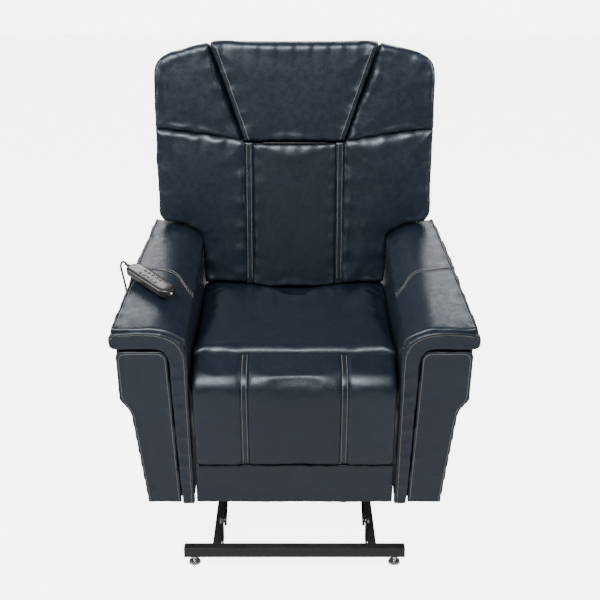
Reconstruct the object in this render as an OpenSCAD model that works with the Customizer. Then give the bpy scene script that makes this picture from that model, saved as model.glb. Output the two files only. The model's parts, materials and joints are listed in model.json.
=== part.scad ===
// Lift recliner chair, standing at rest part way up its lift, in millimetres.
// Two frames are used. "base" points have y = 0 close behind the front base bar.
// "chair" points have y = 0 at the front of the arms and z up from the floor with
// the chair fully down; chair_pose() lifts and tips them to where the chair rests.

/* [Chair body] */
// Distance between the inner faces of the two arms
seat_space_w = 536; // [500:1:580]
// Width over the two arm pads at their front end
pad_front_w = 926; // [910:1:960]
// Width over the two arm pads at their rear end
pad_rear_w = 838; // [820:1:900]
// Height of the arm pads with the chair down
arm_h = 623; // [600:1:640]
// Gap under the arms with the chair down
arm_floor_gap = 60; // [56:1:70]
// Length of an arm from front to back
arm_l = 720; // [690:1:760]

/* [Seat and leg rest] */
// Height of the seat at its front crown
seat_front_h = 485; // [475:1:495]
// Height of the seat where it meets the back
seat_rear_h = 438; // [430:1:441]
// Height of the knee edge, above the top of the leg rest
knee_h = 444; // [440:1:446]
// Lowest edge of the leg rest pad when it hangs down
legrest_bottom_h = 194; // [188:1:210]
// Width of the leg rest pad
legrest_w = 512; // [480:1:516]

/* [Back] */
// Width across the shoulder wings
back_w = 806; // [780:1:820]
// Height of the top of the back
back_top_h = 1124; // [1090:1:1130]
// Height at which the back widens above the arms
wing_h = 646; // [642:1:660]
// Thickness of the back cushion
back_cushion_t = 145; // [120:1:150]
// Width of the headrest at its top
headrest_top_w = 480; // [440:1:500]
// Width of the headrest at its bottom
headrest_low_w = 292; // [260:1:320]
// Height of the lower edge of the headrest
headrest_low_h = 854; // [820:1:870]

/* [Lift base] */
// Length of the front bar
front_bar_w = 602; // [580:1:640]
// Side of the square base tubes
base_tube = 28; // [25:1:30]
// Length of the rear lift arms between pins
rear_arm_l = 430; // [430:1:430]
// Length of the front lift links between pins
front_link_l = 320; // [320:1:320]

/* [Handset] */
// Length of the handset
handset_l = 190; // [180:1:200]
// Width of the handset
handset_w = 50; // [46:1:54]
// Thickness of the handset
handset_t = 24; // [22:1:26]
// Diameter of the handset cord
cord_d = 6; // [5:0.5:7]

/* [Hidden] */

$fn = 48;

// Colours
leather_c = "#1f2b3d";
steel_c = "#1b1c1e";
zinc_c = "#a7abb0";
lamp_c = "#e8e4d4";
cord_c = "#161616";
plastic_c = "#1f1c1b";
plywood_c = "#c9a878";

// Lift linkage in the base frame, each point as [y, z]
pin_rear = [138, 140];
pin_front = [50, 90];
rear_arm_low_angle = -3.4;
front_link_low_angle = -7.7;
chair_per_arm = 0.333;
link_per_arm = 1.131;
rest_swing = 30;
chair_front_y = 10;
bbox_mid_y = 287;
// Front of the base bar, ahead of the lift linkage's own zero
bar_y = -32;
mid_tube_y = 271;

rear_arm_angle = rear_arm_low_angle + rest_swing;
front_link_angle = front_link_low_angle + link_per_arm * rest_swing;
chair_tilt = chair_per_arm * rest_swing;
chair_pin = pin_rear + rear_arm_l * [cos(rear_arm_angle), sin(rear_arm_angle)];
// The two lift pins of the chair, in the chair frame
lift_pin_rear = pin_rear - [chair_front_y, 0]
    + rear_arm_l * [cos(rear_arm_low_angle), sin(rear_arm_low_angle)];
lift_pin_front = pin_front - [chair_front_y, 0]
    + front_link_l * [cos(front_link_low_angle), sin(front_link_low_angle)];

// Lift motor, base frame: fixed pin, and pin to pin length and angle at rest
lift_motor_pin = [525, 105];
lift_motor_reach = 397.8;
lift_motor_angle = 167.35;
// Crank pin that the lift rod pushes, base frame, with the chair down
lift_crank_pin = [165, 190];

// Hinges and motors in the chair frame, each point as [y, z]
back_pivot = [600, 395];
kick_top_h = 174;
recline_crank_pin = [618, 320];
recline_motor_pin = [140, 255];
recline_motor_reach = 481.4;
recline_motor_angle = 7.38;
legrest_pivot = [-20, 455];
legrest_link_pin = [100, 300];
swing_pin = [165, 328];
elbow_pin = swing_pin + legrest_link_pin - legrest_pivot;
legrest_crank_pin = [182, 298];
legrest_motor_pin = [450, 255];
legrest_motor_reach = 271.5;
legrest_motor_angle = 171.93;
motor_side_x = 95;

// Plate layers, as distances of their inner faces from the centre line
plate_t = 6;
inner_bracket_x = 168;
rear_arm_x = 176;
lift_plate_x = 184;
lift_plate_t = 4;
front_link_x = 190;
outer_bracket_x = 199;
bracket_t = 5;
rail_x = 205;
rail_w = 21;
base_z = 24;
wall = 2;
pin_r = 6;
run_gap = 0.05;
open_gap = 1;
shaft_r = 14;
rail_end_y = 640;
rear_bar_half = 250;

inner_x = seat_space_w / 2;
cushion_gap = 6;

// Back: the front face leans back from back_foot_y by back_slope per unit of height
back_foot_y = 542;
back_foot_h = 450;
back_slope = 0.24;
back_frame_t = 36;
back_skin_t = 13;
layer_gap = 1;
headrest_t = 62;
headrest_gap = 4.5;

// Arms
pad_t = 69;
pad_l = 645;
front_t = 12;
cover_gap = 0.5;
cover_top_x = 452;
cover_step_x = 425;
cover_low_x = 399;
step_low_h = 352;
step_top_h = 404;

// Handset: centre of its underside on the left arm pad, and its turn
handset_at = [-378, 216];
handset_turn = -49.5;
handset_lift = 0.5;
half_shell = handset_t / 2;
button_size = [9, 8, 7];
button_proud = 1.2;
button_gap = 0.3;
button_pitch_x = 17;
button_pitch_y = 16;

// Route of the handset cord in the chair frame, from the grommet to the handset
cord_route = [[-436, 480, 420], [-450, 480, 419], [-461, 479, 411], [-466, 477, 396],
    [-465, 474, 375], [-460, 467, 330], [-455, 459, 280], [-452, 449, 230],
    [-450, 434, 185], [-449, 411, 155], [-449, 380, 142], [-449, 348, 150],
    [-449, 322, 178], [-450, 308, 220], [-451, 306, 270], [-453, 311, 330],
    [-455, 318, 390], [-458, 325, 450], [-462, 332, 510], [-468, 337, 560],
    [-473, 337, 595], [-474, 332, 615], [-470, 326, 629], [-463, 317.5, 636.5],
    [-456, 309.3, 637.5]];
cord_sides = 8;
cord_steps = 3;

// ---- Helpers -------------------------------------------------------------

module in_base() {
    translate([0, -bbox_mid_y, 0]) children();
}

module chair_pose() {
    in_base()
        translate([0, chair_pin[0], chair_pin[1]])
            rotate([chair_tilt, 0, 0])
                translate([0, -lift_pin_rear[0], -lift_pin_rear[1]])
                    children();
}

// A box from its low corner to its high corner
module slab(low, high) {
    translate(low) cube(high - low);
}

module both_sides() {
    children();
    mirror([1, 0, 0]) children();
}

// Sweep an outline drawn in y and z along x
module along_x(x, length) {
    translate([x, 0, 0]) rotate([90, 0, 90]) linear_extrude(length) children();
}

module disc_x(pin, r, x, length) {
    translate([x, pin[0], pin[1]]) rotate([0, 90, 0]) cylinder(r = r, h = length);
}

// Square tube lying along x, hollow through
module tube_x(half_l, y, z, size) {
    difference() {
        slab([-half_l, y, z], [half_l, y + size, z + size]);
        slab([-half_l - 1, y + wall, z + wall], [half_l + 1, y + size - wall, z + size - wall]);
    }
}

// Flat link between two pins, given as [y, z]
module link_plate(pin_a, pin_b, r, x, thick) {
    span = pin_b - pin_a;
    difference() {
        translate([x, pin_a[0], pin_a[1]]) rotate([atan2(span[1], span[0]), 0, 0]) union() {
            disc_x([0, 0], r, 0, thick);
            disc_x([norm(span), 0], r, 0, thick);
            translate([0, 0, -r + 2]) cube([thick, norm(span), 2 * r - 4]);
        }
        children();
    }
}

// Motor lying along +y from its fixed pin: gearbox, motor can and outer tube
module actuator(body_l, tube_l) {
    gearbox_l = 62;
    can_r = 24;
    difference() {
        union() {
            rotate([0, 90, 0]) translate([0, 0, -9]) cylinder(r = 13, h = 18);
            slab([-9, 0, -9], [9, 24, 9]);
            slab([-26, 22, -30], [26, 22 + gearbox_l, 26]);
            translate([0, 22 + gearbox_l, -2]) rotate([-90, 0, 0]) cylinder(r = can_r, h = body_l);
            translate([0, 22 + gearbox_l + body_l, 0]) rotate([-90, 0, 0])
                cylinder(r = 16, h = tube_l);
        }
        rotate([0, 90, 0]) translate([0, 0, -10]) cylinder(r = pin_r + run_gap, h = 20);
        translate([0, 22 + gearbox_l, 0]) rotate([-90, 0, 0])
            cylinder(r = 10 + run_gap, h = body_l + tube_l + 1);
    }
}

// Rod of a motor, with the eye that is left loose on its crank pin
module actuator_rod(reach, rod_l, eye_r) {
    ring_w = 6;
    difference() {
        union() {
            translate([0, reach - rod_l - eye_r, 0]) rotate([-90, 0, 0]) cylinder(r = 10, h = rod_l);
            rotate([0, 90, 0]) translate([0, reach, -7]) cylinder(r = eye_r + ring_w, h = 14);
        }
        rotate([0, 90, 0]) translate([0, reach, -8]) cylinder(r = eye_r, h = 16);
    }
}

module place_motor(pin, angle) {
    translate([0, pin[0], pin[1]]) rotate([angle, 0, 0]) children();
}

// A [y, z] direction swung by an angle
function turned(v, angle) = [cos(angle) * v[0] - sin(angle) * v[1], sin(angle) * v[0] + cos(angle) * v[1]];

// Two crank cheeks on a shaft, with the loose pin between them
module crank(shaft, pin, x) {
    cheek_x = 11;
    cheek_r = 16;
    for (side = [-1, 1])
        link_plate(shaft, pin, cheek_r, x + side * (cheek_x + plate_t / 2) - plate_t / 2, plate_t);
    disc_x(pin, 5.5, x - cheek_x - plate_t, 2 * (cheek_x + plate_t));
}

// y of the front face of the back at height z, set back by depth
function back_y(z, depth) = back_foot_y + back_slope * (z - back_foot_h) + depth;

headrest_pin = [back_y(headrest_low_h - 2.4, 4), headrest_low_h - 2.4];

module back_layer(low_h, high_h, depth, thick) {
    polygon([[back_y(low_h, depth), low_h], [back_y(low_h, depth + thick), low_h],
        [back_y(high_h, depth + thick), high_h], [back_y(high_h, depth), high_h]]);
}

// Front view of the back, in x and z, kept inside by inset
module back_outline(inset) {
    low_x = inner_x - cushion_gap - inset;
    wide_x = back_w / 2 - inset;
    corner_r = 60;
    square_top = back_top_h - 38 - inset;
    polygon([[-low_x, back_foot_h], [low_x, back_foot_h], [low_x, wing_h + inset],
        [wide_x, wing_h + inset], [wide_x, square_top - corner_r],
        [wide_x - 18, square_top - 18], [wide_x - corner_r, square_top + 10],
        [headrest_top_w / 2 + 6, back_top_h - inset], [-headrest_top_w / 2 - 6, back_top_h - inset],
        [-wide_x + corner_r, square_top + 10], [-wide_x + 18, square_top - 18],
        [-wide_x, square_top - corner_r], [-wide_x, wing_h + inset], [-low_x, wing_h + inset]]);
}

module headrest_outline(grow) {
    polygon([[-headrest_low_w / 2 - grow, headrest_low_h - grow],
        [headrest_low_w / 2 + grow, headrest_low_h - grow],
        [headrest_top_w / 2 + grow, back_top_h + grow],
        [-headrest_top_w / 2 - grow, back_top_h + grow]]);
}

// Sweep an outline drawn in x and z towards the rear
module to_rear(length) {
    translate([0, length, 0]) rotate([90, 0, 0]) linear_extrude(length) children();
}

// Half width of an arm pad at y, narrowing to the rear
function pad_half(y) = (pad_front_w - (pad_front_w - pad_rear_w) * y / pad_l) / 2;

// Points on a smooth curve through the cord's route
function curve_point(a, b, c, d, t) = 0.5 * ((2 * b) + (c - a) * t
    + (2 * a - 5 * b + 4 * c - d) * t * t + (3 * b - a - 3 * c + d) * t * t * t);

function cord_points(route) = let (last = len(route) - 1)
    [for (i = [0 : last - 1]) for (k = [0 : cord_steps - 1])
        curve_point(route[max(i - 1, 0)], route[i], route[i + 1],
            route[min(i + 2, last)], k / cord_steps), route[last]];

function unit(v) = v / norm(v);

// Round tube along a list of points, with its two ends closed
module swept_tube(points, d) {
    n = len(points);
    side = cord_sides;
    ring = [for (i = [0 : n - 1])
        let (ahead = unit(points[min(i + 1, n - 1)] - points[max(i - 1, 0)]),
             across = unit(cross(ahead, [0.9, 0.35, 0.2])), up = cross(ahead, across))
        for (k = [0 : side - 1])
            points[i] + d / 2 * (cos(360 * k / side) * across + sin(360 * k / side) * up)];
    walls = [for (i = [0 : n - 2]) for (k = [0 : side - 1])
        let (a = i * side + k, b = i * side + (k + 1) % side)
        [b, a, a + side, b + side]];
    caps = [[for (k = [0 : side - 1]) k],
        [for (k = [side - 1 : -1 : 0]) (n - 1) * side + k]];
    polyhedron(points = ring, faces = concat(walls, caps), convexity = 8);
}

// ---- Base: body fixed on the floor ---------------------------------------

module base_front_tube() {
    color(steel_c) in_base() tube_x(front_bar_w / 2, bar_y, base_z, base_tube);
}

module base_side_rails() {
    color(steel_c) in_base() both_sides() difference() {
        slab([rail_x, bar_y + base_tube, base_z], [rail_x + rail_w, rail_end_y, base_z + base_tube]);
        slab([rail_x + wall, bar_y + base_tube - 1, base_z + wall],
            [rail_x + rail_w - wall, rail_end_y + 1, base_z + base_tube - wall]);
    }
}

module base_cross_tubes() {
    color(steel_c) in_base() {
        // The middle tube is notched where the front lift links lie when the chair is down
        difference() {
            tube_x(rail_x, mid_tube_y, base_z, base_tube);
            both_sides() slab([front_link_x - 2, mid_tube_y - 1, base_z + base_tube / 2],
                [outer_bracket_x - 1, mid_tube_y + base_tube + 1, base_z + base_tube + 1]);
        }
        tube_x(rail_x, lift_motor_pin[0] - base_tube / 2, base_z, base_tube);
        tube_x(rear_bar_half, rail_end_y, base_z, base_tube);
    }
}

module base_brackets() {
    top_z = base_z + base_tube;
    eye_r = 20;
    color(steel_c) in_base() {
        both_sides() {
            // Plate for the rear lift arm, reaching forward from the middle cross tube
            difference() {
                union() {
                    disc_x(pin_rear, eye_r, inner_bracket_x, plate_t);
                    along_x(inner_bracket_x, plate_t)
                        polygon([[pin_rear[0] - 12, pin_rear[1] - 16], [mid_tube_y, top_z],
                            [mid_tube_y + base_tube, top_z], [mid_tube_y + base_tube, top_z + 16],
                            [pin_rear[0] + 10, pin_rear[1] + 17]]);
                }
                disc_x(pin_rear, shaft_r + run_gap, inner_bracket_x - 1, plate_t + 2);
            }
            // Plate for the front lift link, against the side rail
            difference() {
                union() {
                    disc_x(pin_front, 14, outer_bracket_x, bracket_t);
                    slab([outer_bracket_x, pin_front[0] - 14, base_z],
                        [outer_bracket_x + bracket_t, pin_front[0] + 14, pin_front[1]]);
                }
                disc_x(pin_front, pin_r, outer_bracket_x - 1, bracket_t + 2);
            }
        }
        // Cheeks for the fixed pin of the lift motor
        for (side = [-1, 1]) difference() {
            union() {
                disc_x(lift_motor_pin, 14, side * 13 - 3, plate_t);
                slab([side * 13 - 3, lift_motor_pin[0] - 14, top_z],
                    [side * 13 + 3, lift_motor_pin[0] + 14, lift_motor_pin[1]]);
            }
            disc_x(lift_motor_pin, pin_r, side * 13 - 4, 8);
        }
    }
}

// Round screw feet, each with a pad, a threaded stem and a lock nut
module levelling_feet() {
    color(steel_c) in_base() both_sides()
        for (spot = [[276, bar_y + base_tube / 2], [236, rail_end_y + base_tube / 2]])
            translate([spot[0], spot[1], 0]) {
                cylinder(r1 = 17, r2 = 15, h = 7);
                cylinder(r = 4, h = base_z);
                translate([0, 0, base_z - 9]) cylinder(r = 9, h = 9, $fn = 6);
            }
}

module base_tube_caps() {
    plug = base_tube / 2 - wall;
    flange_t = 3;
    color(plastic_c) in_base() both_sides()
        for (spot = [[front_bar_w / 2, bar_y], [rear_bar_half, rail_end_y]])
            translate([spot[0], spot[1] + base_tube / 2, base_z + base_tube / 2]) {
                slab([-18, -plug, -plug], [0, plug, plug]);
                slab([0, -base_tube / 2, -base_tube / 2], [flange_t, base_tube / 2, base_tube / 2]);
            }
}

module base_pivot_bolts() {
    head_r = 9;
    color(zinc_c) in_base() {
        both_sides() {
            disc_x(pin_front, pin_r, front_link_x - 0.5, outer_bracket_x + bracket_t - front_link_x + 0.5);
            translate([outer_bracket_x + bracket_t, pin_front[0], pin_front[1]])
                rotate([0, 90, 0]) cylinder(r = head_r, h = 5, $fn = 6);
        }
        disc_x(lift_motor_pin, pin_r, -16, 32);
    }
}

// ---- Lift linkage --------------------------------------------------------

// Cross shaft, two arms and the crank of the lift rod, welded as one
module rear_lift_arms() {
    crank_now = pin_rear + turned(lift_crank_pin - pin_rear, rest_swing);
    color(steel_c) in_base() {
        both_sides() link_plate(pin_rear, chair_pin, 16, rear_arm_x, plate_t)
            disc_x(chair_pin, pin_r + run_gap, rear_arm_x - 1, plate_t + 2);
        difference() {
            disc_x(pin_rear, shaft_r, -rear_arm_x - plate_t, 2 * (rear_arm_x + plate_t));
            disc_x(pin_rear, shaft_r - 3, -rear_arm_x - plate_t - 1, 2 * (rear_arm_x + plate_t) + 2);
        }
        crank(pin_rear, crank_now, 0);
    }
}

module front_lift_links() {
    far_pin = pin_front + front_link_l * [cos(front_link_angle), sin(front_link_angle)];
    color(steel_c) in_base() both_sides()
        link_plate(pin_front, far_pin, 14, front_link_x, plate_t) {
            disc_x(pin_front, pin_r + run_gap, front_link_x - 1, plate_t + 2);
            disc_x(far_pin, pin_r + open_gap, front_link_x - 1, plate_t + 2);
        }
}

module lift_motor() {
    color(plastic_c) in_base() place_motor(lift_motor_pin, lift_motor_angle) actuator(95, 110);
}

module lift_rod() {
    color(zinc_c) in_base() place_motor(lift_motor_pin, lift_motor_angle)
        actuator_rod(lift_motor_reach, 250, 11);
}

// Side plates under the seat, with the pins that the lift linkage carries
module lift_frame_plates() {
    top_z = 200;
    color(steel_c) chair_pose() both_sides() {
        along_x(lift_plate_x, lift_plate_t)
            polygon([[lift_pin_front[0] - 30, top_z], [lift_pin_rear[0] + 30, top_z],
                [lift_pin_rear[0] + 16, lift_pin_rear[1] - 8], [lift_pin_rear[0], lift_pin_rear[1] - 18],
                [lift_pin_rear[0] - 16, lift_pin_rear[1] - 8], [lift_pin_rear[0] - 60, 168],
                [lift_pin_front[0] + 50, 130], [lift_pin_front[0] + 14, lift_pin_front[1] - 4],
                [lift_pin_front[0], lift_pin_front[1] - 14],
                [lift_pin_front[0] - 14, lift_pin_front[1] - 4]]);
        disc_x(lift_pin_rear, pin_r, rear_arm_x - 1.5, lift_plate_x - rear_arm_x + 1.5);
        disc_x(lift_pin_front, pin_r, lift_plate_x + lift_plate_t,
            front_link_x + plate_t - lift_plate_x - 2);
    }
}

// Cross tubes on top of the side plates, from arm to arm
module lift_frame_tubes() {
    color(steel_c) chair_pose() {
        tube_x(inner_x, 345, 200, base_tube);
        tube_x(inner_x, 548, 200, base_tube);
    }
}

// ---- Chair body ----------------------------------------------------------

// Hardwood rails, and the steel clevises that the two small motors push from
module seat_frame() {
    rail_top = 345;
    rail_low = 295;
    hanger_x = 209;
    color(plywood_c) chair_pose() {
        both_sides() slab([246, 118, rail_low], [inner_x - 0.5, 560, rail_top]);
        slab([-245.5, 198, rail_low + 21], [245.5, 222, rail_top]);
        // The rear rail leaves a gap that the recline crank swings through
        slab([-237.5, 545, rail_low + 10], [motor_side_x - 20, 567, rail_top]);
        slab([motor_side_x + 20, 545, rail_low + 10], [237.5, 567, rail_top]);
    }
    color(steel_c) chair_pose() {
        // Clevis of the recline motor, on a tube hung from the front rail by two plates
        tube_x(hanger_x, recline_motor_pin[0] - 12, recline_motor_pin[1] - 42, 24);
        both_sides() along_x(hanger_x, plate_t)
            polygon([[128, 213], [152, 213], [198, 318], [198, rail_top], [190, rail_top],
                [128, 238]]);
        for (side = [-1, 1]) {
            slab([motor_side_x + side * 13 - 3, recline_motor_pin[0] - 12, recline_motor_pin[1] - 18],
                [motor_side_x + side * 13 + 3, recline_motor_pin[0] + 12, recline_motor_pin[1] + 12]);
            slab([-motor_side_x + side * 13 - 3, legrest_motor_pin[0] - 12, legrest_motor_pin[1] - 18],
                [-motor_side_x + side * 13 + 3, legrest_motor_pin[0] + 12, legrest_motor_pin[1] + 12]);
        }
        disc_x(recline_motor_pin, pin_r, motor_side_x - 16, 32);
        disc_x(legrest_motor_pin, pin_r, -motor_side_x - 16, 32);
        tube_x(inner_x - 1, legrest_motor_pin[0] - 12, legrest_motor_pin[1] - 42, 24);
        // Plates that carry the swing links of the leg rest
        both_sides() difference() {
            slab([238, swing_pin[0] - 16, 296], [244, swing_pin[0] + 16, 347]);
            disc_x(swing_pin, shaft_r - 4 + run_gap, 237, 8);
        }
    }
}

// Zigzag wires under the seat cushion, each a flat run from front to rear
module seat_springs() {
    wire = 4;
    color(zinc_c) chair_pose()
        for (x = [-180 : 60 : 180])
            slab([x - wire, 200, 345.5], [x + wire, 566, 345.5 + wire]);
}

module seat_cushion() {
    half = inner_x - cushion_gap;
    color(leather_c) chair_pose() along_x(-half, 2 * half)
        polygon([[112, 350], [544, 350], [578, 398], [578, seat_rear_h], [520, seat_rear_h + 1],
            [112, seat_front_h], [62, 480], [22, 468], [-8, 450], [-8, knee_h], [79, knee_h],
            [100, 430]]);
}

module arm_frames() {
    color(plywood_c) chair_pose() both_sides() {
        slab([284, 40, 75], [302, 690, 540]);
        slab([304, 40, 520], [400, 640, 540]);
        slab([304, 60, 75], [380, 100, 110]);
        slab([304, 620, 75], [380, 660, 110]);
    }
}

// Outer side of an arm: profile in x and z, cut by its plan, hollow for the frame
module arm_cover_right_shape() {
    difference() {
        intersection() {
            translate([0, front_t + 1, 0]) to_rear(arm_l - front_t - 1)
                polygon([[inner_x, arm_floor_gap], [cover_low_x, arm_floor_gap],
                    [cover_step_x, step_low_h], [cover_step_x + 4, step_low_h + 14],
                    [cover_top_x - 6, step_top_h - 14], [cover_top_x, step_top_h],
                    [cover_top_x, arm_h - pad_t - cover_gap], [inner_x, arm_h - pad_t - cover_gap]]);
            linear_extrude(arm_h)
                polygon([[inner_x, 0], [cover_top_x, 0], [cover_top_x - 30, arm_l], [inner_x, arm_l]]);
        }
        slab([283, 38, 73], [381, 692, 519]);
        slab([283, 38, 518], [401, 692, 542]);
    }
}

module arm_cover_right() {
    color(leather_c) chair_pose() arm_cover_right_shape();
}

module arm_cover_left() {
    color(leather_c) chair_pose() mirror([1, 0, 0]) arm_cover_right_shape();
}

// Padded top of an arm: its outer edge runs in towards the rear
module arm_pad_right_shape() {
    low = arm_h - pad_t;
    round_r = 14;
    intersection() {
        translate([0, -3, 0]) to_rear(pad_l + 3)
            polygon([[inner_x, low], [pad_front_w / 2, low], [pad_front_w / 2, arm_h - round_r],
                [pad_front_w / 2 - 4, arm_h - 4], [pad_front_w / 2 - round_r, arm_h],
                [inner_x + 45, arm_h], [inner_x + 22, arm_h - 8], [inner_x + 6, arm_h - 26],
                [inner_x, arm_h - 48]]);
        linear_extrude(arm_h)
            polygon([[inner_x, -3], [pad_half(0), -3], [pad_half(pad_l), pad_l], [inner_x, pad_l]]);
    }
}

module arm_pad_right() {
    color(leather_c) chair_pose() arm_pad_right_shape();
}

module arm_pad_left() {
    color(leather_c) chair_pose() mirror([1, 0, 0]) arm_pad_right_shape();
}

// Upright padded band on the inner front edge of each arm
module arm_front_bands() {
    color(leather_c) chair_pose() both_sides()
        translate([0, -3, 0]) to_rear(front_t + 3)
            polygon([[inner_x, arm_floor_gap], [inner_x + 36, arm_floor_gap],
                [inner_x + 52, arm_h - pad_t - cover_gap], [inner_x, arm_h - pad_t - cover_gap]]);
}

// Flat panel let into the front of each arm
module arm_front_panels() {
    color(leather_c) chair_pose() both_sides()
        translate([0, 2, 0]) to_rear(front_t - 2)
            polygon([[inner_x + 37, arm_floor_gap], [cover_low_x, arm_floor_gap],
                [cover_step_x, step_low_h], [cover_step_x + 4, step_low_h + 14],
                [cover_top_x - 6, step_top_h - 14], [cover_top_x, step_top_h],
                [cover_top_x, arm_h - pad_t - cover_gap], [inner_x + 53, arm_h - pad_t - cover_gap]]);
}

module front_kick_panel() {
    color(leather_c) chair_pose() slab([-256, -5, arm_floor_gap], [256, 13, kick_top_h]);
}

module rear_lower_panel() {
    color(leather_c) chair_pose() slab([-inner_x + 1, 700, arm_floor_gap], [inner_x - 1, 718, 300]);
}

// Steel plates on the seat rails that carry the hinge shaft of the back
module back_pivot_plates() {
    color(steel_c) chair_pose() both_sides() difference() {
        union() {
            disc_x(back_pivot, 19, 238, plate_t);
            slab([238, 582, 300], [244, 632, back_pivot[1] - 8]);
            slab([238, 545, 300], [244, 583, 344]);
        }
        disc_x(back_pivot, shaft_r - 2 + run_gap, 237, plate_t + 2);
    }
}

module control_box() {
    color(plastic_c) chair_pose() slab([150, 380, 239], [232, 540, 285]);
}

// Transformer with its mains inlet, on the rear cross tube
module power_supply() {
    color(plastic_c) chair_pose() difference() {
        slab([-236, 578, 200], [-150, 690, 260]);
        slab([-208, 672, 220], [-178, 691, 242]);
    }
}

// Open pouch on the outer side of the left arm
module side_pocket() {
    color(leather_c) chair_pose() mirror([1, 0, 0]) difference() {
        translate([0, 70, 0]) to_rear(200)
            polygon([[pocket_x(90), 90], [pocket_x(90) + 16, 90], [pocket_x(315) + 20, 315],
                [pocket_x(315), 315]]);
        translate([0, 74, 0]) to_rear(192)
            polygon([[pocket_x(96) + 3, 96], [pocket_x(96) + 13, 96], [pocket_x(325) + 17, 325],
                [pocket_x(325) + 3, 325]]);
    }
}

// The arm's outer side below its step, just clear of the cover
function pocket_x(z) = cover_low_x + 0.5
    + (cover_step_x - cover_low_x) * (z - arm_floor_gap) / (step_low_h - arm_floor_gap);

// ---- Handset -------------------------------------------------------------

module handset_pose() {
    chair_pose() translate([handset_at[0], handset_at[1], arm_h + handset_lift])
        rotate([0, 0, handset_turn]) children();
}

module handset_plan(inset) {
    r = handset_w / 2 - inset;
    straight = handset_l - handset_w;
    square([straight, 2 * r], center = true);
    for (end = [-1, 1]) translate([end * straight / 2, 0]) circle(r);
}

function button_at(i) = [-34 + button_pitch_x * floor(i / 2), (i % 2 - 0.5) * button_pitch_y];

module handset_lower_shell() {
    color(plastic_c) handset_pose() {
        linear_extrude(2) handset_plan(3);
        translate([0, 0, 2]) linear_extrude(half_shell - 2) handset_plan(0);
    }
}

module handset_upper_shell() {
    floor_z = handset_t - 8.5;
    color(plastic_c) handset_pose() difference() {
        union() {
            translate([0, 0, half_shell]) linear_extrude(half_shell - 2) handset_plan(0);
            translate([0, 0, handset_t - 2]) linear_extrude(2) handset_plan(2.5);
        }
        for (i = [0 : 9]) translate([button_at(i)[0], button_at(i)[1], floor_z])
            translate([-button_size[0] / 2 - button_gap, -button_size[1] / 2 - button_gap, 0])
                cube([button_size[0] + 2 * button_gap, button_size[1] + 2 * button_gap, 10]);
    }
}

module handset_lamp() {
    color(lamp_c) handset_pose() translate([handset_l / 2, 0, half_shell])
        rotate([0, 90, 0]) cylinder(r = 3, h = 2.5);
}

module handset_button(i) {
    color(plastic_c) handset_pose()
        translate([button_at(i)[0] - button_size[0] / 2, button_at(i)[1] - button_size[1] / 2,
            handset_t + button_proud - button_size[2]])
            cube(button_size);
}

// Tapered sleeve where the cord enters the handset
module cord_strain_relief() {
    color(plastic_c) handset_pose() translate([-handset_l / 2, 0, half_shell])
        rotate([0, -90, 0]) cylinder(r1 = 5.5, r2 = 3.8, h = 25);
}

module handset_cord() {
    color(cord_c) chair_pose() swept_tube(cord_points(cord_route), cord_d);
}

// Round ring where the cord leaves the side of the arm
module cord_grommet() {
    color(plastic_c) chair_pose() translate([cord_route[0][0], cord_route[0][1], cord_route[0][2]])
        rotate([0, 90, 0]) cylinder(r = 8, h = 3.6);
}

// ---- Back ----------------------------------------------------------------

module back_cushion() {
    color(leather_c) chair_pose() difference() {
        intersection() {
            along_x(-back_w / 2, back_w) back_layer(back_foot_h, back_top_h, 0, back_cushion_t);
            translate([0, 400, 0]) to_rear(600) back_outline(0);
        }
        intersection() {
            along_x(-back_w / 2, back_w)
                back_layer(headrest_low_h - 20, back_top_h + 20, -20, headrest_t + headrest_gap + 20);
            translate([0, 400, 0]) to_rear(600) headrest_outline(headrest_gap);
        }
    }
}

// Two uprights and three rails, each a separate length of board
module back_frame() {
    depth = back_cushion_t + layer_gap;
    upright_t = back_frame_t - 2 * layer_gap;
    color(plywood_c) chair_pose() {
        both_sides() along_x(205, 40) back_layer(470, 1040, depth, upright_t);
        for (z = [480, 720, 960])
            along_x(-204.5, 409) back_layer(z, z + 60, depth, upright_t);
    }
}

module back_outer_panel() {
    depth = back_cushion_t + back_frame_t;
    color(leather_c) chair_pose() intersection() {
        along_x(-back_w / 2, back_w) back_layer(back_foot_h, back_top_h, depth, back_skin_t);
        translate([0, 400, 0]) to_rear(700) back_outline(8);
    }
}

// Hinge shaft of the back, its two uprights and the crank of the recline rod
module back_hinge_brackets() {
    bracket_x = 246;
    color(steel_c) chair_pose() {
        disc_x(back_pivot, shaft_r - 2, -bracket_x - 3, 2 * (bracket_x + 3));
        both_sides() along_x(bracket_x, plate_t)
            polygon([[584, 408], [584, 384], [618, 376], [712, 462],
                [back_y(560, back_cushion_t + 30), 560], [back_y(560, back_cushion_t + 4), 560],
                [back_y(448, back_cushion_t + 4), 448], [672, 436]]);
        crank(back_pivot, recline_crank_pin, motor_side_x);
    }
}

module headrest_cushion() {
    color(leather_c) chair_pose() intersection() {
        along_x(-back_w / 2, back_w)
            back_layer(headrest_low_h, back_top_h, -6, headrest_t + 6);
        translate([0, 400, 0]) to_rear(600) headrest_outline(0);
    }
}

// Hinge wire in the gap under the lower front edge of the headrest
module headrest_hinge() {
    color(zinc_c) chair_pose()
        translate([-90, headrest_pin[0], headrest_pin[1]])
            rotate([0, 90, 0]) cylinder(r = 1.8, h = 180);
}

// ---- Leg rest and the two small motors -----------------------------------

module legrest_board() {
    color(plywood_c) chair_pose() {
        slab([-238, 76, 222], [238, 90, 414]);
        both_sides() difference() {
            union() {
                disc_x(legrest_link_pin, 10, 226, plate_t);
                slab([226, 90, legrest_link_pin[1] - 10],
                    [226 + plate_t, legrest_link_pin[0], legrest_link_pin[1] + 10]);
            }
            disc_x(legrest_link_pin, 4 + run_gap, 225, plate_t + 2);
        }
    }
}

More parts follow.
